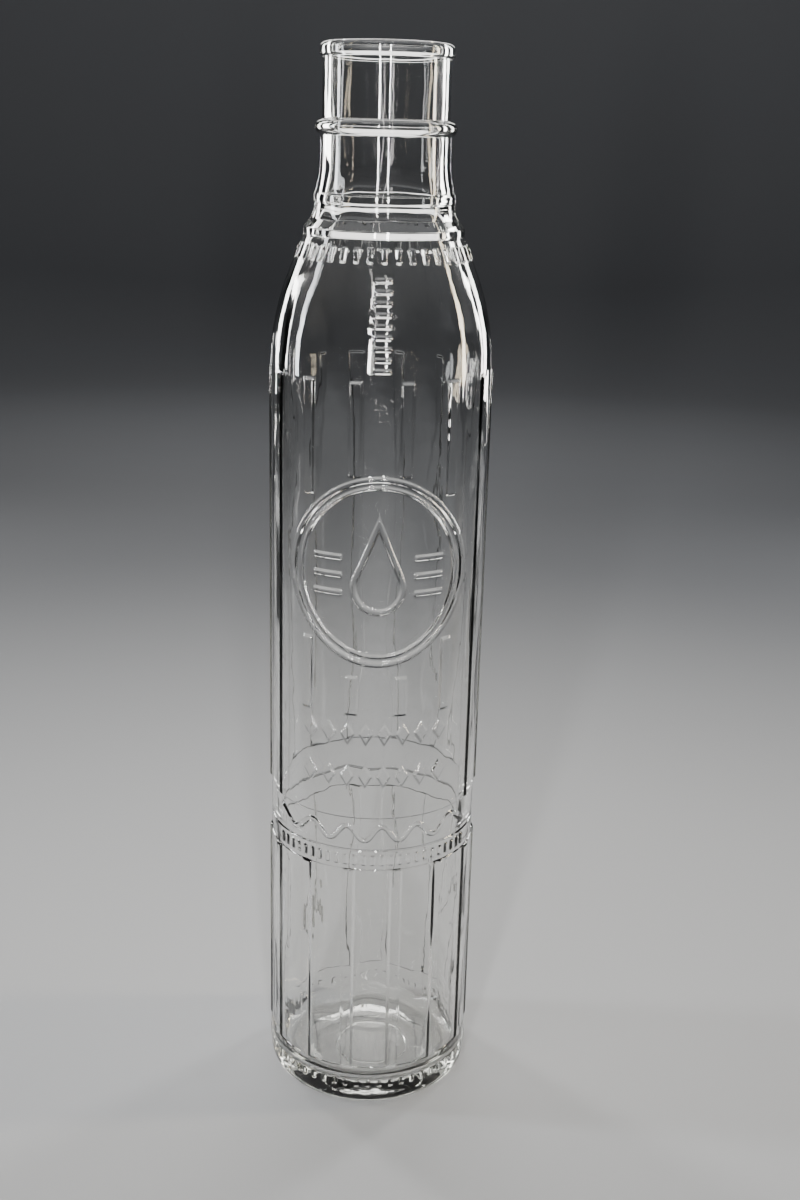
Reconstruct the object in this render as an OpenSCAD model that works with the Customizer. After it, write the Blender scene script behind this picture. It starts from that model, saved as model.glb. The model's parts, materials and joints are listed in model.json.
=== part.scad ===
// Tall fluted glass bottle for one quart of motor oil.
// The bottle is a single moulding. It is drawn here as the zones and reliefs that its mould forms,
// each a closed solid that meets its neighbours face to face. Units are millimetres, +Z is up, and the
// origin is the centre of the surface that the bottle stands on. The front faces -Y.

/* [Barrel] */
// Diameter of the barrel between its ribs
barrel_d = 73.8; // [70:0.2:78]
// Thickness of the glass wall
wall = 3.3; // [2.6:0.1:4]
// Height of the plain heel
heel_h = 17.3; // [16:0.1:22]
// Height of the ribbed lower barrel
lower_barrel_h = 79.7; // [60:0.1:100]
// Height of the plain waist band
waist_h = 20; // [19:0.5:26]
// Height of the ribbed upper barrel
upper_barrel_h = 149.4; // [140:0.1:170]

/* [Shoulder and neck] */
// Height of the curved part of the shoulder
ogive_h = 30; // [24:0.5:34]
// Radius of that curve, seen from the side
ogive_r = 82; // [76:1:90]
// Height of the straight cone above the curve
cone_h = 13; // [10:0.5:14]
// Height of the neck, from the cone to the finish
neck_h = 30.8; // [30:0.1:36]
// Outer diameter of the neck at its top
neck_d = 41.7; // [41.2:0.1:43]

/* [Finish] */
// Height of the finish, from the neck to the top of the lip
finish_h = 27.8; // [24:0.1:34]
// Outer diameter of the finish between its beads
finish_d = 41.1; // [40.6:0.1:41.2]
// Diameter of the mouth
mouth_d = 35; // [34.6:0.1:36]
// Radius of the lip's rounded top
lip_round = 2; // [1.8:0.1:2.2]
// Height of the lip's outer band
lip_h = 4.4; // [4:0.1:6]
// Radius of the bead under the finish
bead_round = 2.3; // [1.8:0.1:2.6]

/* [Base] */
// Height of the inside floor above the surface that the bottle stands on
floor_z = 7; // [6:0.1:8]
// Inner diameter of the flat ring that the bottle stands on
ring_d = 50; // [44:1:52]
// Height of the push-up at its centre
push_up = 2.6; // [1.5:0.1:3.5]

/* [Ribs] */
// Number of ribs round the barrel
rib_count = 14; // [12:2:16]
// Width of a rib
rib_w = 3.8; // [3:0.1:5]
// Height of a rib above the barrel
rib_h = 0.65; // [0.4:0.05:0.8]

/* [Ornament] */
// Height of the raised ornament above the glass
relief = 0.6; // [0.3:0.05:0.6]
// Width of the oval emblem
emblem_w = 57; // [50:1:60]
// Height of the oval emblem
emblem_h = 64; // [56:1:66]
// Number of ticks in the ring on the shoulder
shoulder_ticks_n = 40; // [24:1:48]
// Number of ticks in the ring on the heel
heel_ticks_n = 56; // [36:1:64]

/* [Hidden] */
$fn = 96;
glass = [0.83, 0.87, 0.87, 0.45];
raised = [0.93, 0.96, 0.97, 0.7];

// Heights of the planes where the zones meet.
floor_cut_z = floor_z + 2;
lower_z = heel_h;
waist_z = lower_z + lower_barrel_h;
upper_z = waist_z + waist_h;
ogive_z = upper_z + upper_barrel_h;
cone_z = ogive_z + ogive_h;
neck_z = cone_z + cone_h;
finish_z = neck_z + neck_h;
top_z = finish_z + finish_h;

// Radii of the outer surface.
barrel_r = barrel_d / 2;
waist_r = barrel_r - 0.3;
heel_r = barrel_r + 0.25;
heel_round = 6.5;
neck_r = neck_d / 2;
finish_r = finish_d / 2;
mouth_r = mouth_d / 2;
lip_overhang = mouth_r + 2 * lip_round - finish_r;
inner_r = barrel_r - wall;
floor_round = 9;

// The shoulder's cone continues the slope at the top of its curve.
ogive_angle = asin(ogive_h / ogive_r);
ogive_x = barrel_r - ogive_r;
cone_slope = tan(ogive_angle);
cone_r = ogive_x + ogive_r * cos(ogive_angle);
cone_top_r = cone_r - cone_h * cone_slope;

// Two narrow lands ring the neck where its flares start.
step_h = 2.2;
step_rise = 0.3;
low_step_r = cone_top_r - 0.2;
high_step_z = neck_z + 10.3;
high_step_r = neck_r + 1.75;
low_flare_round = 10.5;
low_flare_angle = 30;
high_flare_z = finish_z - 6.2;
high_flare_h = high_flare_z - high_step_z - step_h;
high_flare_rise = high_step_r - neck_r;
high_flare_round = (high_flare_h * high_flare_h + high_flare_rise * high_flare_rise)
    / (2 * high_flare_rise);
high_flare_angle = asin(high_flare_h / high_flare_round);

// Inside, one long curve leads from the shoulder's cone to the bore of the neck.
inner_cone_r = cone_r - wall / cos(ogive_angle);
inner_flare_round = 40;
inner_flare_run = inner_flare_round * tan(ogive_angle / 2);
inner_flare_z = cone_z + (inner_cone_r - mouth_r) / cone_slope + inner_flare_run;

// A shallow groove rings the waist band.
groove_z = waist_z + 7.5;
groove_d = 0.4;
wave_z = waist_z + 14;

// The emblem interrupts the ribs of the front, and the panel below it has none.
rib_step = 360 / rib_count;
front_half_angle = 50;
emblem_z = ogive_z - 62;
panel_top_z = upper_z + 38;
gap_below_emblem = 4;
side_rib_inset_top = 7;
side_rib_inset_foot = 8;

// Line widths and sizes within the emblem.
border_line = 1.5;
inner_border_line = 0.8;
inner_border_inset = 3;
drop_r = 9;
drop_h = 24;
drop_hole = 0.82;
bar_w = 9;
bar_h = 1.6;
bar_x = 16.5;
bar_pitch = 6;

// The marks below the shoulder's ring of ticks reach from its foot up to this height.
mark_top_z = cone_z + 5;

// Points along a circle's arc, from angle a to angle b.
function arc(x, y, r, a, b, steps) =
    [for (i = [0:steps]) let (t = a + (b - a) * i / steps) [x + r * cos(t), y + r * sin(t)]];

function reversed(points) = [for (i = [len(points) - 1:-1:0]) points[i]];

// Radius of the cone's outer surface at a height.
function cone_r_at(z) = cone_r - (z - cone_z) * cone_slope;

// The push-up is a shallow spherical cap inside the standing ring.
cap_r = (ring_d * ring_d / 4 + push_up * push_up) / (2 * push_up);
cap_angle = asin(ring_d / 2 / cap_r);
function push_up_curve() = arc(0, push_up - cap_r, cap_r, 90, 90 - cap_angle, 8);

function ogive_curve() = arc(ogive_x, ogive_z, ogive_r, 0, ogive_angle, 10);

function outer_outline() = concat(
    push_up_curve(),
    arc(heel_r - heel_round, heel_round, heel_round, -90, 0, 10),
    [[heel_r, lower_z], [barrel_r, lower_z], [barrel_r, waist_z], [waist_r, waist_z + 0.3]],
    [[waist_r, groove_z - groove_d], [waist_r - groove_d, groove_z], [waist_r, groove_z + groove_d]],
    [[waist_r, upper_z - 0.3], [barrel_r, upper_z]],
    ogive_curve(),
    [[cone_top_r, neck_z], [low_step_r, neck_z], [low_step_r, neck_z + step_h]],
    arc(high_step_r + low_flare_round, high_step_z, low_flare_round, 180 + low_flare_angle, 180, 6),
    [[high_step_r, high_step_z + step_h]],
    arc(neck_r + high_flare_round, high_flare_z, high_flare_round, 180 + high_flare_angle, 180, 6),
    [[neck_r, finish_z]]
);

function inner_outline() = concat(
    [[0, floor_z]],
    arc(inner_r - floor_round, floor_z + floor_round, floor_round, -90, 0, 8),
    arc(ogive_x, ogive_z, ogive_r - wall, 0, ogive_angle, 10),
    arc(mouth_r + inner_flare_round, inner_flare_z, inner_flare_round, 180 + ogive_angle, 180, 8),
    [[mouth_r, finish_z]]
);

// The wall between two heights.
module zone(low, high) {
    rotate_extrude()
        intersection() {
            polygon(concat(outer_outline(), reversed(inner_outline())));
            translate([0, low])
                square([barrel_d, high - low]);
        }
}

// A layer of glass that lies on the outer surface between two heights of it.
module skin(points, rise) {
    lifted = [for (p = points) [p[0] + rise, p[1]]];
    rotate_extrude()
        polygon(concat(points, reversed(lifted)));
}

// A layer on a plain cylinder.
module barrel_skin(r, low, high, rise) {
    skin([[r, low], [r, high]], rise);
}

// An upright strip at an angle, counted from the front (-Y) towards +X. It starts inside the hollow.
module strip(angle, width, low, high) {
    rotate([0, 0, angle - 90])
        translate([mouth_r, -width / 2, low])
            cube([barrel_r, width, high - low]);
}

// A flat shape in X and Z, pushed back to front through the front half of the bottle.
module front_prism() {
    rotate([90, 0, 0])
        linear_extrude(barrel_d)
            children();
}

module rib(index, low, high) {
    intersection() {
        barrel_skin(barrel_r, low, high, rib_h);
        strip((index + 0.5) * rib_step, rib_w, low, high);
    }
}

// True for the ribs that the front's emblem interrupts.
function in_front(index) = cos((index + 0.5) * rib_step) > cos(front_half_angle);

// True for the two ribs beside the front's centre line.
function beside_centre(index) = cos((index + 0.5) * rib_step) > cos(rib_step);

module base() {
    color(glass)
        zone(0, floor_cut_z);
}

module heel() {
    color(glass)
        zone(floor_cut_z, lower_z);
}

module lower_barrel() {
    color(glass)
        zone(lower_z, waist_z);
}

module waist_band() {
    color(glass)
        zone(waist_z, upper_z);
}

module upper_barrel() {
    color(glass)
        zone(upper_z, ogive_z);
}

module shoulder() {
    color(glass)
        zone(ogive_z, neck_z);
}

module neck() {
    color(glass)
        zone(neck_z, finish_z);
}

// The lip's section is as thick as the wall of the finish plus its overhang. Its top is a half circle.
module lip_section() {
    under_z = top_z - lip_h + lip_overhang;
    translate([mouth_r + lip_round, top_z - lip_round])
        circle(lip_round);
    translate([mouth_r, under_z])
        square([2 * lip_round, top_z - lip_round - under_z]);
    translate([finish_r, under_z])
        circle(lip_overhang);
}

// A tube with a true bore. Its top edge is the inner part of the lip.
module finish() {
    color(glass)
        rotate_extrude()
            intersection() {
                union() {
                    translate([mouth_r, finish_z])
                        square([finish_r - mouth_r, finish_h - lip_round]);
                    lip_section();
                }
                square([finish_r, top_z]);
            }
}

module lip_bead() {
    color(raised)
        rotate_extrude()
            difference() {
                lip_section();
                square([finish_r, top_z]);
            }
}

module neck_bead() {
    color(raised)
        rotate_extrude()
            difference() {
                translate([finish_r, finish_z + bead_round])
                    circle(bead_round);
                square([finish_r, top_z]);
            }
}

module neck_steps() {
    color(raised) {
        barrel_skin(low_step_r, neck_z, neck_z + step_h, step_rise);
        barrel_skin(high_step_r, high_step_z, high_step_z + step_h, step_rise);
    }
}

module lower_ribs() {
    color(raised)
        for (i = [0:rib_count - 1])
            rib(i, lower_z, waist_z);
}

// Short ribs above and below the emblem.
module front_ribs() {
    color(raised)
        for (i = [0:rib_count - 1])
            if (in_front(i)) {
                inset_top = beside_centre(i) ? 0 : side_rib_inset_top;
                inset_foot = beside_centre(i) ? -gap_below_emblem : side_rib_inset_foot;
                rib(i, emblem_z + emblem_h / 2 - inset_top, ogive_z);
                rib(i, panel_top_z, emblem_z - emblem_h / 2 + inset_foot);
            }
}

module upper_ribs() {
    color(raised)
        for (i = [0:rib_count - 1])
            if (!in_front(i))
                rib(i, upper_z, ogive_z);
}

module oval(width, height) {
    polygon([for (i = [0:59]) [width / 2 * cos(6 * i), height / 2 * sin(6 * i)]]);
}

module oval_ring(width, height, line) {
    difference() {
        oval(width, height);
        oval(width - 2 * line, height - 2 * line);
    }
}

// Two plain oval lines.
module emblem_border() {
    color(raised)
        intersection() {
            barrel_skin(barrel_r, emblem_z - emblem_h / 2, emblem_z + emblem_h / 2, relief);
            front_prism()
                translate([0, emblem_z]) {
                    inset = 2 * inner_border_inset;
                    oval_ring(emblem_w, emblem_h, border_line);
                    oval_ring(emblem_w - inset, emblem_h - inset, inner_border_line);
                }
        }
}

// Outline of a falling drop: a round bottom that narrows to a point.
module drop(radius, height) {
    tangent = asin(radius / height);
    polygon(concat([[0, height]], arc(0, 0, radius, 180 - tangent, 360 + tangent, 24)));
}

module emblem_drop() {
    color(raised)
        intersection() {
            barrel_skin(barrel_r, emblem_z - emblem_h / 2, emblem_z + emblem_h / 2, relief);
            front_prism()
                translate([0, emblem_z - 5])
                    difference() {
                        drop(drop_r, drop_h);
                        drop(drop_r * drop_hole, drop_h * drop_hole);
                    }
        }
}

// Plain bars either side of the drop.
module emblem_bars() {
    color(raised)
        intersection() {
            barrel_skin(barrel_r, emblem_z - emblem_h / 2, emblem_z + emblem_h / 2, relief);
            front_prism()
                for (side = [-1, 1], row = [-1:1])
                    translate([side * bar_x - bar_w / 2, emblem_z - 1 + row * bar_pitch - bar_h / 2])
                        square([bar_w, bar_h]);
        }
}

// A ring of short upright ticks near the top of the shoulder.
module shoulder_ticks() {
    low = cone_z + 5.8;
    high = low + 4.4;
    color(raised)
        intersection() {
            skin([[cone_r_at(low), low], [cone_r_at(high), high]], relief);
            for (i = [0:shoulder_ticks_n - 1])
                strip(i * 360 / shoulder_ticks_n, 1.4, low, high);
        }
}

// A column of plain level marks down the front of the shoulder.
module level_marks() {
    mark_w = 5;
    mark_h = 1.2;
    pitch = 3.4;
    color(raised)
        intersection() {
            skin(concat(ogive_curve(), [[cone_r_at(mark_top_z), mark_top_z]]), relief);
            front_prism()
                for (i = [0:8])
                    translate([-mark_w / 2, ogive_z + 3 + i * pitch])
                        square([mark_w, mark_h]);
        }
}

// Two rows of plain lozenges below the emblem.
module panel_lozenges() {
    half_w = 2.1;
    half_h = 3.6;
    pitch = 6.2;
    row_step = 15.5;
    color(raised)
        intersection() {
            barrel_skin(barrel_r, upper_z, panel_top_z, relief);
            front_prism()
                for (row = [1:2], i = [-3.5:1:3.5])
                    translate([i * pitch, upper_z + row * row_step])
                        polygon([[-half_w, 0], [0, -half_h], [half_w, 0], [0, half_h]]);
        }
}

// One wavy line round the front of the waist band.
module waist_wave() {
    reach = 32;
    height = 2.6;
    half_line = 0.7;
    turn_per_mm = 30;
    function wave(x) = height * sin(x * turn_per_mm);
    upper = [for (x = [-reach:1:reach]) [x, wave(x) + half_line]];
    lower = [for (x = [-reach:1:reach]) [x, wave(x) - half_line]];
    color(raised)
        intersection() {
            barrel_skin(waist_r, groove_z + 1, upper_z - 0.3, relief);
            front_prism()
                translate([0, wave_z])
                    polygon(concat(upper, reversed(lower)));
        }
}

// A row of short ticks under the groove of the waist band.
module waist_ticks() {
    low = waist_z + 2;
    high = low + 3.6;
    color(raised)
        intersection() {
            barrel_skin(waist_r, low, high, relief);
            for (i = [-12:12])
                strip(i * 5, 1.2, low, high);
        }
}

// A ring of small ticks on the heel.
module heel_ticks() {
    low = floor_cut_z + 0.3;
    high = low + 2.6;
    color(raised)
        intersection() {
            barrel_skin(heel_r, low, high, relief / 2);
            for (i = [0:heel_ticks_n - 1])
                strip(i * 360 / heel_ticks_n, 1.2, low, high);
        }
}

// The fine lines that the two mould halves leave on the shoulder, at either side.
module mould_seams() {
    color(raised)
        intersection() {
            skin(concat(ogive_curve(), [[cone_r_at(mark_top_z), mark_top_z]]), relief / 2);
            for (side = [-90, 90])
                strip(side, 0.6, ogive_z, mark_top_z);
        }
}

// The ring that the blank mould leaves on the push-up, a little off centre.
module base_scar() {
    scar_r = 14;
    scar_rise = 0.3;
    curve = push_up_curve();
    dropped = [for (p = curve) [p[0], p[1] - scar_rise]];
    color(raised)
        intersection() {
            rotate_extrude()
                polygon(concat(curve, reversed(dropped)));
            translate([1.5, -1, -1])
                difference() {
                    cylinder(h = push_up + 2, r = scar_r);
                    translate([0, 0, -1])
                        cylinder(h = push_up + 4, r = scar_r - 0.8);
                }
        }
}

base();
heel();
lower_barrel();
waist_band();
upper_barrel();
shoulder();
neck();
finish();
neck_steps();
neck_bead();
lip_bead();
lower_ribs();
front_ribs();
upper_ribs();
emblem_border();
emblem_drop();
emblem_bars();
shoulder_ticks();
level_marks();
panel_lozenges();
waist_wave();
waist_ticks();
heel_ticks();
mould_seams();
base_scar();
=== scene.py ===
"""The glass oil bottle's looks: one seamless glass mesh with raised ribs and ornament, on a pale floor."""

import json
import math
from bisect import bisect_left
from collections import defaultdict

import bpy
import numpy as np
from mathutils import Matrix, Vector


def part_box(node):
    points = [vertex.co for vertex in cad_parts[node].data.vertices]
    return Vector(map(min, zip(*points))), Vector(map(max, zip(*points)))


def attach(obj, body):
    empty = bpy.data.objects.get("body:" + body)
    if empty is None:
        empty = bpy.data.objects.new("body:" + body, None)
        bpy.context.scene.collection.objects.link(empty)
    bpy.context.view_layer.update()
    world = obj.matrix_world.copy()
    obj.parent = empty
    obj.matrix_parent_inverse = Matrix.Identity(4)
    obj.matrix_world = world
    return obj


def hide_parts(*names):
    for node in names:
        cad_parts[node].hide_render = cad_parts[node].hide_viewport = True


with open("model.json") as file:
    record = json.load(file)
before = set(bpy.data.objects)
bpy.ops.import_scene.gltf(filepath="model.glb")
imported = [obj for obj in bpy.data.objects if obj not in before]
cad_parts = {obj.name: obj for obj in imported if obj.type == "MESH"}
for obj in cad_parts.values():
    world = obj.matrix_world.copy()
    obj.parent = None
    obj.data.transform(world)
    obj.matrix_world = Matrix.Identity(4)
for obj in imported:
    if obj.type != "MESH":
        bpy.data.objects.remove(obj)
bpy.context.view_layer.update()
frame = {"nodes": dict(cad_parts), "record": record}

mm = 0.001


# ---------------------------------------------------------------- sizes, from the frame


def low(node):
    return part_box(node)[0].z


def high(node):
    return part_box(node)[1].z


def reach(node):
    """Outer radius of a node that is round about the bottle's axis."""
    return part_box(node)[1].y


HEEL_TOP = high("heel")
WAIST_LOW = low("waist_band")
WAIST_HIGH = high("waist_band")
RIBS_TOP = low("shoulder")
NECK_LOW = low("neck")
FINISH_LOW = low("finish")
TOP = high("finish")

BARREL_R = reach("upper_barrel")
HEEL_R = reach("heel")
WAIST_R = BARREL_R - 0.3 * mm
FINISH_R = reach("finish")
LIP_R = reach("lip_bead")
NECK_R = FINISH_R + 0.3 * mm
LAND_R = reach("neck_steps")
HIGH_LAND_R = NECK_R + 2.05 * mm
HIGH_LAND_Z = high("neck_steps")
LAND_H = 2.2 * mm
LOW_FLARE = 10.5 * mm  # radius of the hollow curve above the low land
HIGH_FLARE_DROP = 6.2 * mm  # from the finish down to where the neck begins to flare

WALL = 3.3 * mm
MOUTH_R = frame["record"]["mounts"][0]["dims"]["r_mm"] * mm
LIP_ROUND = (LIP_R - MOUTH_R) / 2
LIP_OVERHANG = LIP_R - FINISH_R
BEAD_ROUND = (high("neck_bead") - low("neck_bead")) / 2
HEEL_ROUND = 6.5 * mm
FLOOR_Z = 7 * mm
FLOOR_ROUND = 9 * mm
FLOOR_HOLE_R = 2 * mm  # where the rows end, and one face closes the floor
STAND_RING_R = 25 * mm
PUSH_UP = 2.6 * mm
GROOVE_ABOVE_WAIST = 7.5 * mm
GROOVE_DEPTH = 0.4 * mm
STEP_SLOPE = 0.3 * mm  # height over which the barrel's small steps run out
INNER_FLARE = 40 * mm  # radius of the curve inside the neck's foot

OGIVE_R = 82 * mm
OGIVE_H = 30 * mm
OGIVE_ANGLE = math.asin(OGIVE_H / OGIVE_R)
CONE_Z = RIBS_TOP + OGIVE_H
CONE_SLOPE = math.tan(OGIVE_ANGLE)
CONE_R = BARREL_R - OGIVE_R * (1 - math.cos(OGIVE_ANGLE))

RIB_COUNT = 14
RIB_PITCH = 2 * math.pi / RIB_COUNT
RIB_HALF_W = 1.9 * mm
RIB_RISE = 0.65 * mm
RIB_SLOPE = 1.1 * mm
RELIEF = 0.6 * mm
INNER_SWELL = 0.3 * mm

BORDER_LINE = 1.5 * mm
INNER_BORDER_LINE = 0.9 * mm
INNER_BORDER_INSET = 3 * mm
DROP_R = 9 * mm
DROP_H = 24 * mm
DROP_BELOW_MIDDLE = 5 * mm
DROP_LINE = 0.85 * mm  # half the width of the drop's outline
BAR_X = 16.5 * mm
BAR_HALF_W = 4.5 * mm
BAR_HALF_H = 0.8 * mm

LOZENGE_HALF_W = 2.1 * mm
LOZENGE_HALF_H = 3.6 * mm
LOZENGE_PITCH = 6.2 * mm
LOZENGES_EACH_SIDE = 4

SHOULDER_TICKS = 40
WAIST_TICKS = 72  # as many as would go all round
WAIST_TICKS_REACH = math.radians(60)
HEEL_TICKS = 56

WAVE_H = 2.6 * mm
WAVE_TURN = math.radians(30) / mm
WAVE_HALF_LINE = 0.7 * mm
WAVE_REACH = 32 * mm

LEVEL_MARKS = 9
LEVEL_MARK_FIRST = 3.6 * mm
LEVEL_MARK_PITCH = 3.4 * mm
LEVEL_MARK_HALF_W = 2.5 * mm
LEVEL_MARK_HALF_H = 0.65 * mm

SEAM_HALF_W = 0.25 * mm
SEAM_SHARE = 0.35  # of the height of the other relief
SCAR_CENTRE = (1.5 * mm, -1 * mm)
SCAR_R = 13.6 * mm
SCAR_HALF_LINE = 0.4 * mm

RGBA_IN = 6  # the first colour input of a mix node
RGBA_OUT = 2  # its colour output

ROW_SPACING = 4 * mm
COLUMNS_PER_RIB = 18
HALVINGS = 4  # how often a cell of the mesh may be cut in two, either way
STEP = 2**HALVINGS  # the finest cell is 1 and a plain one is this many
STRAIGHT = 0.032 * mm  # a cell whose surface is this close to straight isn't cut


# ---------------------------------------------------------------- the outline, as (radius, height) rows


def arc(centre, radius, start, end, steps):
    """Points along an arc in the plane of radius and height. Angles are in degrees."""
    turns = np.radians(np.linspace(start, end, steps + 1))
    return [(centre[0] + radius * math.cos(t), centre[1] + radius * math.sin(t)) for t in turns]


def eased(corners, radius, steps=3):
    """The corners of a line, each cut back by a radius and rounded. The two ends stay as they are."""
    line = [Vector(c) for c in corners]
    out = [tuple(line[0])]
    for before, here, after in zip(line, line[1:], line[2:]):
        back = (before - here).normalized()
        on = (after - here).normalized()
        cut = min(radius, (before - here).length * 0.45, (after - here).length * 0.45)
        a, b = here + back * cut, here + on * cut
        for i in range(steps + 1):
            t = i / steps
            out.append(tuple(a * (1 - t) ** 2 + here * 2 * t * (1 - t) + b * t**2))
    out.append(tuple(line[-1]))
    return out


def bottom_outline():
    """The push-up, the ring that the bottle stands on, and the rounded heel."""
    cap_r = (STAND_RING_R**2 + PUSH_UP**2) / (2 * PUSH_UP)
    cap_angle = math.degrees(math.asin(STAND_RING_R / cap_r))
    dome = arc((0, PUSH_UP - cap_r), cap_r, 90, 90 - cap_angle, 20)[1:]
    round_heel = arc((HEEL_R - HEEL_ROUND, HEEL_ROUND), HEEL_ROUND, -90, 0, 16)
    return dome + round_heel


def barrel_outline():
    """From the plain heel to the foot of the shoulder, with the groove in the waist band."""
    groove = WAIST_LOW + GROOVE_ABOVE_WAIST
    corners = [
        (HEEL_R, HEEL_ROUND),
        (HEEL_R, HEEL_TOP),
        (BARREL_R, HEEL_TOP + STEP_SLOPE),
        (BARREL_R, WAIST_LOW),
        (WAIST_R, WAIST_LOW + STEP_SLOPE),
        (WAIST_R, groove - GROOVE_DEPTH),
        (WAIST_R - GROOVE_DEPTH, groove),
        (WAIST_R, groove + GROOVE_DEPTH),
        (WAIST_R, WAIST_HIGH - STEP_SLOPE),
        (BARREL_R, WAIST_HIGH),
        (BARREL_R, RIBS_TOP),
    ]
    return eased(corners, 0.3 * mm)[1:]


def shoulder_outline():
    """The ogive between the barrel and the cone."""
    curve = arc((BARREL_R - OGIVE_R, RIBS_TOP), OGIVE_R, 0, math.degrees(OGIVE_ANGLE), 16)
    return curve[1:]


def neck_outline():
    """The cone, the two lands with their flares, and the plain neck."""
    cone_top_r = CONE_R - (NECK_LOW - CONE_Z) * CONE_SLOPE
    high_foot = HIGH_LAND_Z - LAND_H
    flare_r = HIGH_LAND_R - 0.3 * mm
    low_flare = arc((flare_r + LOW_FLARE, high_foot - 0.3 * mm), LOW_FLARE, 210, 182, 8)
    flare_z = FINISH_LOW - HIGH_FLARE_DROP
    rise = flare_r - NECK_R
    run = flare_z - HIGH_LAND_Z
    flare_round = (run**2 + rise**2) / (2 * rise)
    flare_angle = math.degrees(math.asin(run / flare_round))
    high_flare = arc((NECK_R + flare_round, flare_z), flare_round, 180 + flare_angle * 0.94, 180, 8)
    lower = eased(
        [
            (CONE_R, CONE_Z),
            (cone_top_r, NECK_LOW - 0.2 * mm),
            (LAND_R, NECK_LOW + 0.1 * mm),
            (LAND_R, NECK_LOW + LAND_H),
            low_flare[0],
        ],
        0.45 * mm,
    )
    upper = eased(
        [
            low_flare[-1],
            (HIGH_LAND_R, high_foot),
            (HIGH_LAND_R, HIGH_LAND_Z),
            high_flare[0],
        ],
        0.35 * mm,
    )
    return lower[1:] + low_flare[1:-1] + upper + high_flare[1:]


def finish_outline():
    """The bead under the finish, the finish, and the rolled lip as far as its highest point."""
    bead = arc((FINISH_R, FINISH_LOW + BEAD_ROUND), BEAD_ROUND, -84, 84, 18)
    under_lip = low("lip_bead")
    lower = arc((FINISH_R, under_lip + LIP_OVERHANG), LIP_OVERHANG, -70, 0, 6)
    upper = arc((MOUTH_R + LIP_ROUND, TOP - LIP_ROUND), LIP_ROUND, 0, 90, 12)
    corner = 0.5 * mm
    gap = 0.1 * mm
    below = eased([(NECK_R, FINISH_LOW - 3 * mm), (NECK_R, FINISH_LOW - gap), bead[1]], corner)
    above = eased([bead[-2], (FINISH_R, high("neck_bead") + gap), (FINISH_R, TOP - 8 * mm)], corner)
    throat = eased([(FINISH_R, TOP - 7.5 * mm), (FINISH_R, under_lip - gap), lower[1]], corner)
    return below + bead[2:-2] + above + throat + lower[2:] + upper


def inner_outline():
    """Down the inside, from the lip to near the middle of the floor."""
    lip = arc((MOUTH_R + LIP_ROUND, TOP - LIP_ROUND), LIP_ROUND, 90, 180, 10)
    cone_r = CONE_R - WALL / math.cos(OGIVE_ANGLE)
    flare_z = CONE_Z + (cone_r - MOUTH_R) / CONE_SLOPE + INNER_FLARE * math.tan(OGIVE_ANGLE / 2)
    ogive = math.degrees(OGIVE_ANGLE)
    neck = arc((MOUTH_R + INNER_FLARE, flare_z), INNER_FLARE, 180, 180 + ogive, 10)
    shoulder = arc((BARREL_R - OGIVE_R, RIBS_TOP), OGIVE_R - WALL, ogive, 0, 14)
    corner = arc((BARREL_R - WALL - FLOOR_ROUND, FLOOR_Z + FLOOR_ROUND), FLOOR_ROUND, 0, -90, 12)
    return lip[1:] + neck + shoulder + corner + [(FLOOR_HOLE_R, FLOOR_Z)]


def rows_between(outline):
    """The outline's points, with more put between those that are far apart."""
    same_place = 1e-7
    shortest_rest = 0.4  # of a step, so that no sliver of a row is left at the end
    rows = [outline[0]]
    for a, b in zip(outline, outline[1:]):
        length = math.dist(a, b)
        if length < same_place:
            continue
        at = ROW_SPACING
        while at < length - shortest_rest * ROW_SPACING:
            t = at / length
            rows.append((a[0] + (b[0] - a[0]) * t, a[1] + (b[1] - a[1]) * t))
            at += ROW_SPACING
        rows.append(b)
    return np.array(rows)


# ---------------------------------------------------------------- what stands out of the glass


def edge(inside, soft=0.85 * mm):
    """1 well inside a shape and 0 well outside it, with a rounded slope between. inside is a distance."""
    t = np.clip(inside / soft + 0.5, 0, 1)
    return t * t * (3 - 2 * t)


def from_middle(angle, middle):
    """An angle counted from a middle, between -pi and pi."""
    return (angle - middle + math.pi) % (2 * math.pi) - math.pi


def span(node):
    """The heights that a node runs between."""
    return low(node), high(node)


def between(z, bottom, top, soft=0.8 * mm):
    """1 between two heights and 0 outside them, with soft ends."""
    return edge(z - bottom, soft) * edge(top - z, soft)


def ribs(angle, z):
    """The flutes' ribs. The emblem interrupts the four of the front, and leaves the middle two shorter."""
    index = np.floor(angle / RIB_PITCH)
    middle = np.abs(from_middle((index + 0.5) * RIB_PITCH, 0))
    across = edge(RIB_HALF_W - BARREL_R * np.abs(angle - (index + 0.5) * RIB_PITCH), RIB_SLOPE)
    emblem_low, emblem_high = span("emblem_border")
    foot = low("front_ribs")
    centre, side = middle < RIB_PITCH, (middle > RIB_PITCH) & (middle < 2 * RIB_PITCH)
    runs = [
        (HEEL_TOP, WAIST_LOW, True),
        (WAIST_HIGH, RIBS_TOP, ~centre & ~side),
        (foot, emblem_low - 4 * mm, centre),
        (emblem_high, RIBS_TOP, centre),
        (foot, emblem_low + 8 * mm, side),
        (emblem_high - 7 * mm, RIBS_TOP, side),
    ]
    rise = np.zeros_like(z)
    # each run has its foot, its top and the ribs that have it
    for bottom, top, which in runs:
        rise = np.maximum(rise, between(z, bottom, top, RIB_SLOPE) * which)
    return rise * across * RIB_RISE


def oval_line(x, z, width, height, line):
    """A line just inside an oval. The distance to the oval is worked out from its slope."""
    ring = np.maximum(np.hypot(x / (width / 2), z / (height / 2)), 1e-6)
    steepness = np.hypot(x / (width / 2) ** 2, z / (height / 2) ** 2) / ring
    inside = (1 - ring) / np.maximum(steepness, 1)
    return edge(line / 2 - np.abs(inside - line / 2))


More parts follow.
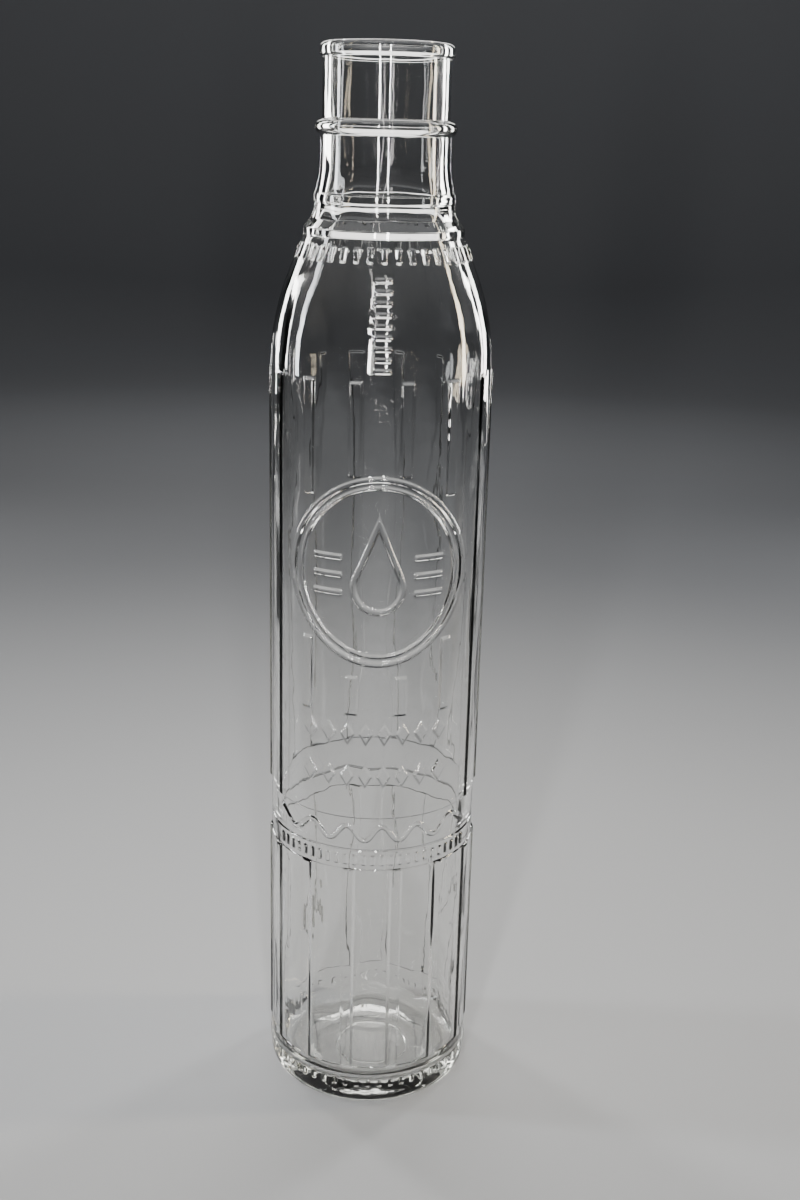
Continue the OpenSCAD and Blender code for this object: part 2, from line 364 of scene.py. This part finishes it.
def drop_distance(x, z, radius, height):
    """How far inside a falling drop's outline a point is."""
    tangent = math.asin(radius / height)
    side = np.abs(x) * math.cos(tangent) + z * math.sin(tangent) - radius
    beside_cone = z * math.cos(tangent) > np.abs(x) * math.sin(tangent)
    return -np.where(beside_cone, side, np.hypot(x, z) - radius)


def box_mask(x, z, half_w, half_h):
    """1 inside a box about the origin and 0 outside it, with soft sides."""
    return edge(half_w - np.abs(x)) * edge(half_h - np.abs(z))


def emblem(angle, radius, z):
    """Two oval lines round a falling drop with three plain bars at either side."""
    x = radius * np.sin(angle)
    border_low, border_high = span("emblem_border")
    width = 2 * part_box("emblem_border")[1].x
    height = border_high - border_low
    up = z - (border_low + border_high) / 2
    inset = 2 * INNER_BORDER_INSET
    mask = oval_line(x, up, width, height, BORDER_LINE)
    mask = np.maximum(mask, oval_line(x, up, width - inset, height - inset, INNER_BORDER_LINE))
    inside = drop_distance(x, up + DROP_BELOW_MIDDLE, DROP_R, DROP_H)
    mask = np.maximum(mask, edge(DROP_LINE - np.abs(inside - DROP_LINE)))
    for bar_z in (-7 * mm, -1 * mm, 5 * mm):
        bar = box_mask(np.abs(x) - BAR_X, up - bar_z, BAR_HALF_W, BAR_HALF_H)
        mask = np.maximum(mask, bar)
    return mask * (np.cos(angle) > 0)


def lozenges(angle, radius, z):
    """Two rows of lozenges on the panel under the emblem."""
    x = radius * np.sin(angle)
    bottom, top = span("panel_lozenges")
    thickness = LOZENGE_HALF_W * LOZENGE_HALF_H / math.hypot(LOZENGE_HALF_W, LOZENGE_HALF_H)
    across = np.abs((x / LOZENGE_PITCH) % 1 - 0.5) * LOZENGE_PITCH / LOZENGE_HALF_W
    mask = np.zeros_like(z)
    for row_z in (bottom + LOZENGE_HALF_H, top - LOZENGE_HALF_H):
        inside = (1 - across - np.abs(z - row_z) / LOZENGE_HALF_H) * thickness
        mask = np.maximum(mask, edge(inside))
    return mask * (np.abs(x) < LOZENGES_EACH_SIDE * LOZENGE_PITCH) * (np.cos(angle) > 0)


def ticks(angle, radius, z, node, count, half_w, half_angle=math.pi):
    """Short upright strokes, evenly round the bottle or over part of it."""
    step = 2 * math.pi / count
    off = from_middle(angle, 0)
    across = radius * np.abs(off - step * np.round(off / step))
    strokes = edge(half_w - across, 0.9 * mm) * between(z, *span(node))
    return strokes * (np.abs(off) < half_angle + step / 2)


def shoulder_ticks(angle, radius, z):
    """A ring of strokes at the foot of the neck."""
    return ticks(angle, radius, z, "shoulder_ticks", SHOULDER_TICKS, 0.75 * mm)


def waist_ticks(angle, radius, z):
    """A row of strokes over the front of the waist band."""
    return ticks(angle, radius, z, "waist_ticks", WAIST_TICKS, 0.65 * mm, WAIST_TICKS_REACH)


def heel_ticks(angle, radius, z):
    """A ring of strokes on the heel, half as high as the others."""
    return 0.5 * ticks(angle, radius, z, "heel_ticks", HEEL_TICKS, 0.7 * mm)


def wave(angle, radius, z):
    """A wavy line over the front of the waist band."""
    x = radius * np.sin(angle)
    bottom, top = span("waist_wave")
    off = z - (bottom + top) / 2 - WAVE_H * np.sin(x * WAVE_TURN)
    slope = WAVE_H * WAVE_TURN * np.cos(x * WAVE_TURN)
    inside = WAVE_HALF_LINE - np.abs(off) / np.sqrt(1 + slope**2)
    return edge(inside) * edge(WAVE_REACH - np.abs(x)) * (np.cos(angle) > 0)


def level_marks(angle, radius, z):
    """A ladder of short level bars up the front of the shoulder."""
    x = radius * np.sin(angle)
    mask = np.zeros_like(z)
    for i in range(LEVEL_MARKS):
        middle = RIBS_TOP + LEVEL_MARK_FIRST + LEVEL_MARK_PITCH * i
        mask = np.maximum(mask, box_mask(x, z - middle, LEVEL_MARK_HALF_W, LEVEL_MARK_HALF_H))
    return mask * (np.cos(angle) > 0)


def seams(angle, radius, z):
    """The fine lines where the two halves of the mould met, at either side."""
    away = radius * np.abs(np.abs(from_middle(angle, 0)) - math.pi / 2)
    return SEAM_SHARE * edge(SEAM_HALF_W - away, 0.6 * mm) * between(z, HEEL_ROUND, FINISH_LOW)


def base_scar(angle, radius, z):
    """The ring that the blank mould left on the push-up, a little off centre."""
    x, y = radius * np.sin(angle), -radius * np.cos(angle)
    away = np.abs(np.hypot(x - SCAR_CENTRE[0], y - SCAR_CENTRE[1]) - SCAR_R)
    return 0.5 * edge(SCAR_HALF_LINE - away, 0.7 * mm) * (radius < STAND_RING_R)


def relief(angle, radius, z):
    """How far the glass stands out of its plain outline at each point."""
    shapes = [
        (emblem, *span("emblem_border")),
        (lozenges, *span("panel_lozenges")),
        (wave, *span("waist_wave")),
        (level_marks, *span("level_marks")),
        (shoulder_ticks, *span("shoulder_ticks")),
        (waist_ticks, *span("waist_ticks")),
        (heel_ticks, *span("heel_ticks")),
        (seams, HEEL_ROUND, FINISH_LOW),
        (base_scar, 0, PUSH_UP),
    ]
    margin = 1 * mm
    rise = ribs(angle, z)
    for shape, bottom, top in shapes:
        near = (z > bottom - margin) & (z < top + margin)
        rise[near] = np.maximum(rise[near], shape(angle[near], radius[near], z[near]) * RELIEF)
    return rise


def waviness(angle, z, seed):
    """Slow swells of blown glass, about -1 to 1, from a few sine waves that run mostly up and down."""
    waves = 20
    usual_height = 4
    rng = np.random.default_rng(seed)
    total = np.zeros_like(z)
    for _ in range(waves):
        turns = rng.integers(1, 14)
        along = rng.uniform(-120, 120)
        phase = rng.uniform(0, 2 * math.pi)
        total += np.sin(turns * angle + along * z + phase) * rng.uniform(0.3, 1)
    return total / usual_height


def inner_swell(angle, z):
    """How far the inside of the wall stands off its plain outline. The mouth and the floor are true."""
    below_lip = np.clip((TOP - 12 * mm - z) / (40 * mm), 0, 1)
    above_floor = np.clip((z - FLOOR_Z) / (25 * mm), 0, 1)
    return waviness(angle, z, 11) * INNER_SWELL * below_lip * above_floor


# ---------------------------------------------------------------- the glass mesh


def column_angles():
    """Angles once round the bottle, both ends included, closer together on the slopes of the ribs."""
    extra = 4.5  # how much denser the columns are on a slope
    slope_width = 0.04  # of a pitch
    place = np.linspace(0, 1, 2001)
    density = np.ones_like(place)
    for side in (-1, 1):
        slope = 0.5 + side * RIB_HALF_W / (BARREL_R * RIB_PITCH)
        density += extra * np.exp(-(((place - slope) / slope_width) ** 2))
    run = np.concatenate([[0], np.cumsum((density[1:] + density[:-1]) / 2)])
    one = np.interp(np.arange(COLUMNS_PER_RIB) / COLUMNS_PER_RIB, run / run[-1], place)
    return np.concatenate([(one + i) * RIB_PITCH for i in range(RIB_COUNT)] + [[2 * math.pi]])


def glass_surface():
    """The whole skin as one sheet: up the outside, over the lip and down to the floor.

    Returns a function that gives the points at (row, column) places, whole or not, a function that gives
    how far such a place is off the plain outline, the outline's rows, how many of them are outside, and
    how many columns there are.
    """
    outside = bottom_outline() + barrel_outline() + shoulder_outline() + neck_outline() + finish_outline()
    outer = rows_between(outside)
    inner = rows_between(inner_outline())
    rows = np.concatenate([outer, inner])
    count = np.arange(len(rows))
    lean_r, lean_z = np.gradient(rows[:, 0]), np.gradient(rows[:, 1])
    length = np.maximum(np.hypot(lean_r, lean_z), 1e-9)
    out_r, out_z = lean_z / length, -lean_r / length
    angles = column_angles()

    def plain(row, column):
        angle = np.interp(column, np.arange(len(angles)), angles)
        return np.interp(row, count, rows[:, 0]), np.interp(row, count, rows[:, 1]), angle

    def rise(row, column):
        radius, z, angle = plain(row, column)
        return np.where(row < len(outer) - 0.5, relief(angle, radius, z), inner_swell(angle, z))

    def points(row, column):
        radius, z, angle = plain(row, column)
        off = rise(row, column)
        radius = radius + off * np.interp(row, count, out_r)
        z = z + off * np.interp(row, count, out_z)
        return np.stack([radius * np.sin(angle), -radius * np.cos(angle), z], axis=-1)

    return points, rise, rows, len(outer), len(angles) - 1


def plain_cells(rows, outer_rows, columns):
    """Cells between neighbouring rows: one column wide on the ribs, two or four elsewhere."""
    cells = []
    for row in range(len(rows) - 1):
        radius, z = rows[row]
        ribbed = row < outer_rows and HEEL_TOP - 1 * mm < z < RIBS_TOP
        near_axis = radius < STAND_RING_R / 2 and z < 2 * FLOOR_Z
        if ribbed:
            wide = 1
        elif near_axis:
            wide = 4
        else:
            wide = 2
        starts = np.arange(0, columns, wide)
        band = np.stack([0 * starts + row, 0 * starts + row + 1, starts, starts + wide], axis=1)
        cells.append(band)
    return np.concatenate(cells) * STEP


def halved(cells, rise):
    """The cells, halved either way until what stands out inside each is nearly straight from side to side."""
    done = []
    share = np.linspace(0, 1, 5)  # where each cell is sampled, either way
    while len(cells):
        tall, wide = cells[:, 1] - cells[:, 0], cells[:, 3] - cells[:, 2]
        row = cells[:, 0, None, None] + tall[:, None, None] * share[:, None]
        column = cells[:, 2, None, None] + wide[:, None, None] * share
        rises = rise((row + 0 * column) / STEP, (column + 0 * row) / STEP)
        up_line = rises[:, :1] + (rises[:, -1:] - rises[:, :1]) * share[:, None]
        round_line = rises[:, :, :1] + (rises[:, :, -1:] - rises[:, :, :1]) * share
        bent_up = (np.abs(rises - up_line).max(axis=(1, 2)) > STRAIGHT) & (tall > 1)
        bent_round = (np.abs(rises - round_line).max(axis=(1, 2)) > STRAIGHT) & (wide > 1)
        done.append(cells[~bent_up & ~bent_round])
        halves = split(cells[bent_up], 0)
        turned = np.concatenate([bent_round[bent_up]] * 2)
        only_round = split(cells[bent_round & ~bent_up], 2)
        cells = np.concatenate([split(halves[turned], 2), halves[~turned], only_round])
    return np.concatenate(done)


def split(cells, side):
    """Each cell cut in two, across its rows for side 0 or its columns for side 2."""
    first, second = cells.copy(), cells.copy()
    first[:, side + 1] = second[:, side] = (cells[:, side] + cells[:, side + 1]) // 2
    return np.concatenate([first, second])


def joined_faces(cells, width):
    """Faces that share every corner on their edges, so that small cells meet large ones with no gap."""
    along_row, along_column = defaultdict(set), defaultdict(set)
    for row0, row1, col0, col1 in cells:
        for row in (row0, row1):
            along_row[row].update((col0, col1))
        for col in (col0, col1):
            along_column[col % width].update((row0, row1))
    along_row = {k: sorted(v) for k, v in along_row.items()}
    along_column = {k: sorted(v) for k, v in along_column.items()}
    numbers = {}

    def corner(row, col):
        return numbers.setdefault((row, col % width), len(numbers))

    def run(line, start, end):
        return line[bisect_left(line, start) : bisect_left(line, end)]

    faces = []
    for row0, row1, col0, col1 in cells:
        face = [corner(row0, c) for c in run(along_row[row0], col0, col1)]
        face += [corner(r, col1) for r in run(along_column[col1 % width], row0, row1)]
        face += [corner(row1, c) for c in run(along_row[row1], col0 + 1, col1 + 1)[::-1]]
        face += [corner(r, col0) for r in run(along_column[col0 % width], row0 + 1, row1 + 1)[::-1]]
        faces.append(face)
    first, last = min(along_row), max(along_row)
    faces.append([corner(first, c) for c in along_row[first][:-1]][::-1])
    faces.append([corner(last, c) for c in along_row[last][:-1]])
    return faces, np.array(list(numbers))


def make_bottle():
    """One closed mesh of the glass, shaded with the true surface's normals."""
    points, rise, rows, outer_rows, columns = glass_surface()
    cells = halved(plain_cells(rows, outer_rows, columns), rise)
    faces, corners = joined_faces(cells.tolist(), columns * STEP)
    row, column = corners[:, 0] / STEP, corners[:, 1] / STEP
    mesh = bpy.data.meshes.new("bottle_glass")
    mesh.from_pydata(points(row, column).tolist(), [], faces)
    mesh.update()
    mesh.shade_smooth()
    near = 0.02  # of a row or column, to measure the surface's slope over
    up = points(row + near, column) - points(row - near, column)
    across = points(row, column + near) - points(row, column - near)
    normals = np.cross(across, up)
    normals /= np.linalg.norm(normals, axis=1)[:, None]
    mesh.normals_split_custom_set_from_vertices(normals.tolist())
    bottle = bpy.data.objects.new("bottle_glass", mesh)
    bpy.context.scene.collection.objects.link(bottle)
    return bottle


# ---------------------------------------------------------------- materials


def node_material(name):
    """A new material with an empty node tree."""
    material = bpy.data.materials.new(name)
    material.use_nodes = True
    tree = material.node_tree
    tree.nodes.clear()
    return material, tree


def make_glass():
    """Clear glass of faintly warm tint: fine upright streaks, slow swells and a trace of handling marks."""
    material, tree = node_material("clear_glass")
    links = tree.links
    out = tree.nodes.new("ShaderNodeOutputMaterial")
    glass = tree.nodes.new("ShaderNodeBsdfPrincipled")
    glass.inputs["Base Color"].default_value = (0.99, 0.99, 0.985, 1)
    glass.inputs["Transmission Weight"].default_value = 1.0
    glass.inputs["IOR"].default_value = 1.52
    coords = tree.nodes.new("ShaderNodeTexCoord")
    marks = tree.nodes.new("ShaderNodeTexNoise")
    marks.inputs["Scale"].default_value = 60
    marks.inputs["Detail"].default_value = 5
    dull = tree.nodes.new("ShaderNodeMapRange")
    dull.inputs["From Min"].default_value = 0.5
    dull.inputs["From Max"].default_value = 0.75
    dull.inputs["To Min"].default_value = 0.0
    dull.inputs["To Max"].default_value = 0.06
    stretch = tree.nodes.new("ShaderNodeMapping")
    stretch.inputs["Scale"].default_value = (1, 1, 0.05)
    streaks = tree.nodes.new("ShaderNodeTexNoise")
    streaks.inputs["Scale"].default_value = 320
    streaks.inputs["Detail"].default_value = 2
    swell = tree.nodes.new("ShaderNodeTexNoise")
    swell.inputs["Scale"].default_value = 60
    swell.inputs["Detail"].default_value = 2
    ripple = tree.nodes.new("ShaderNodeBump")
    ripple.inputs["Strength"].default_value = 1.0
    ripple.inputs["Distance"].default_value = 0.03 * mm
    bump = tree.nodes.new("ShaderNodeBump")
    bump.inputs["Strength"].default_value = 1.0
    bump.inputs["Distance"].default_value = 0.2 * mm
    links.new(coords.outputs["Object"], marks.inputs["Vector"])
    links.new(coords.outputs["Object"], swell.inputs["Vector"])
    links.new(coords.outputs["Object"], stretch.inputs["Vector"])
    links.new(stretch.outputs["Vector"], streaks.inputs["Vector"])
    links.new(marks.outputs["Fac"], dull.inputs["Value"])
    links.new(dull.outputs["Result"], glass.inputs["Roughness"])
    links.new(streaks.outputs["Fac"], ripple.inputs["Height"])
    links.new(ripple.outputs["Normal"], bump.inputs["Normal"])
    links.new(swell.outputs["Fac"], bump.inputs["Height"])
    links.new(bump.outputs["Normal"], glass.inputs["Normal"])
    links.new(glass.outputs["BSDF"], out.inputs["Surface"])
    tint = tree.nodes.new("ShaderNodeVolumeAbsorption")
    tint.inputs["Color"].default_value = (0.86, 0.875, 0.8, 1)
    tint.inputs["Density"].default_value = 16
    links.new(tint.outputs["Volume"], out.inputs["Volume"])
    return material


def mix_node(tree, first, second):
    """A node that mixes two colours. A mix node's colour sockets are found by number."""
    mix = tree.nodes.new("ShaderNodeMix")
    mix.data_type = "RGBA"
    mix.inputs[RGBA_IN].default_value = first
    mix.inputs[RGBA_IN + 1].default_value = second
    return mix


def make_floor_material():
    """Matt pale paint with a faint mottle, and a painted pool of light: the paint turns to darker grey away
    from the bottle, as painted light falloff.
    """
    pale_grey = (0.4, 0.405, 0.415, 1)
    paler_grey = (0.43, 0.435, 0.445, 1)
    # painted shade: the dark grey the floor is painted far from the bottle, standing in for light that falls
    # off
    painted_shade_grey = (0.12, 0.125, 0.135, 1)
    material, tree = node_material("floor_painted_light_pool")
    links = tree.links
    out = tree.nodes.new("ShaderNodeOutputMaterial")
    paint = tree.nodes.new("ShaderNodeBsdfPrincipled")
    coords = tree.nodes.new("ShaderNodeTexCoord")
    mottle = tree.nodes.new("ShaderNodeTexNoise")
    mottle.inputs["Scale"].default_value = 5
    mottle.inputs["Detail"].default_value = 6
    pale = mix_node(tree, pale_grey, paler_grey)
    away = tree.nodes.new("ShaderNodeVectorMath")
    away.operation = "LENGTH"
    # painted light falloff: the floor's colour is mixed towards the dark grey with distance from the bottle,
    # a painted pool of light round it
    light_falloff = tree.nodes.new("ShaderNodeMapRange")
    light_falloff.interpolation_type = "SMOOTHSTEP"
    light_falloff.inputs["From Min"].default_value = 0.02
    light_falloff.inputs["From Max"].default_value = 0.75
    far = mix_node(tree, pale_grey, painted_shade_grey)
    dull = tree.nodes.new("ShaderNodeMapRange")
    dull.inputs["To Min"].default_value = 0.6
    dull.inputs["To Max"].default_value = 0.8
    links.new(coords.outputs["Object"], mottle.inputs["Vector"])
    links.new(coords.outputs["Object"], away.inputs[0])
    links.new(away.outputs["Value"], light_falloff.inputs["Value"])
    links.new(mottle.outputs["Fac"], pale.inputs["Factor"])
    links.new(mottle.outputs["Fac"], dull.inputs["Value"])
    links.new(light_falloff.outputs["Result"], far.inputs["Factor"])
    links.new(pale.outputs[RGBA_OUT], far.inputs[RGBA_IN])
    links.new(far.outputs[RGBA_OUT], paint.inputs["Base Color"])
    links.new(dull.outputs["Result"], paint.inputs["Roughness"])
    links.new(paint.outputs["BSDF"], out.inputs["Surface"])
    return material


# ---------------------------------------------------------------- stage, lights and camera


def make_floor():
    """A pale floor that curves up all round, far from the bottle."""
    flat_r, bend_r, wall_z = 1.6, 0.9, 2.6
    step_degrees = 5
    flat_rings = [(0.4, 0.0), (0.9, 0.0)]
    profile = flat_rings + arc((flat_r, bend_r), bend_r, -90, 0, 16) + [(flat_r + bend_r, wall_z)]
    around = np.radians(np.arange(0, 360, step_degrees))
    verts = [(r * math.cos(a), r * math.sin(a), z) for r, z in profile for a in around]
    n = len(around)
    faces = []
    for i in range(len(profile) - 1):
        for j in range(n):
            on = (j + 1) % n
            faces.append((i * n + j, i * n + on, (i + 1) * n + on, (i + 1) * n + j))
    faces.append(tuple(range(n))[::-1])
    mesh = bpy.data.meshes.new("floor")
    mesh.from_pydata(verts, [], faces)
    mesh.shade_smooth()
    floor = bpy.data.objects.new("floor", mesh)
    bpy.context.scene.collection.objects.link(floor)
    floor.data.materials.append(make_floor_material())


def add_softbox(name, place, target, size, power, colour):
    """A rectangular light that faces a target. The camera doesn't see it, but the glass does."""
    light = bpy.data.lights.new(name, "AREA")
    light.shape = "RECTANGLE"
    light.size, light.size_y = size
    light.energy = power
    light.color = colour
    lamp = bpy.data.objects.new(name, light)
    bpy.context.scene.collection.objects.link(lamp)
    lamp.location = place
    lamp.rotation_euler = (Vector(target) - Vector(place)).to_track_quat("-Z", "Y").to_euler()
    lamp.visible_camera = False
    return lamp


def add_strip(name, angle, distance, height, size, power, colour):
    """An upright strip of light that faces the bottle, at an angle from the front towards +X."""
    turn = math.radians(angle)
    place = (distance * math.sin(turn), -distance * math.cos(turn), height)
    strip = add_softbox(name, place, (0, 0, height), size, power, colour)
    strip.data.spread = math.radians(100)


def make_lights():
    """A softbox behind, a small soft key light high in front, and strips all round that draw the glass."""
    white, warm, cool = (1, 0.99, 0.97), (1, 0.87, 0.66), (0.94, 0.97, 1)
    # each strip has its angle, its distance, the height of its middle, its width and height, and its watts
    add_strip("window_left", -13, 1.3, 0.72, (0.06, 1.1), 7, white)
    add_strip("window_right", 5, 1.3, 0.72, (0.05, 1.1), 6, white)
    add_strip("side_left", -95, 1.1, 0.6, (0.12, 1.0), 4, cool)
    add_strip("side_right", 93, 1.1, 0.6, (0.1, 1.0), 4, warm)
    add_strip("rim_left", -138, 1.25, 0.6, (0.2, 1.1), 6, white)
    add_strip("rim_right", 135, 1.25, 0.6, (0.2, 1.1), 6, white)
    add_softbox("back", (0, 1.05, 1.05), (0, 0, 0), (0.9, 1.3), 10, white)
    add_softbox("key", (-0.4, -0.6, 1.5), (0, 0, 0.15), (0.7, 0.45), 3, white)
    world = bpy.data.worlds.new("studio")
    world.use_nodes = True
    background = world.node_tree.nodes["Background"]
    background.inputs["Color"].default_value = (0.8, 0.86, 1, 1)
    background.inputs["Strength"].default_value = 0.05
    bpy.context.scene.world = world


def make_camera():
    """In front of the bottle, a little lower than its lip, looking down on it."""
    yaw, pitch, roll = (math.radians(a) for a in (1.66, 17.57, 1.47))
    place = (-0.00586, -0.4882, 0.33875)
    forward = Vector((math.sin(yaw) * math.cos(pitch), math.cos(yaw) * math.cos(pitch), -math.sin(pitch)))
    level = Vector((math.cos(yaw), -math.sin(yaw), 0))
    above = level.cross(forward)
    right = level * math.cos(roll) + above * math.sin(roll)
    up = above * math.cos(roll) - level * math.sin(roll)
    camera = bpy.data.objects.new("camera", bpy.data.cameras.new("camera"))
    bpy.context.scene.collection.objects.link(camera)
    turn = Matrix((right, up, -forward)).transposed().to_4x4()
    camera.matrix_world = Matrix.Translation(place) @ turn
    camera.data.sensor_width = 36
    camera.data.lens = 43.5
    camera.data.clip_start = 0.01
    bpy.context.scene.camera = camera


make_camera()
make_floor()
make_lights()

bottle = make_bottle()
bottle.data.materials.append(make_glass())
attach(bottle, "root")
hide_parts(*frame["nodes"])
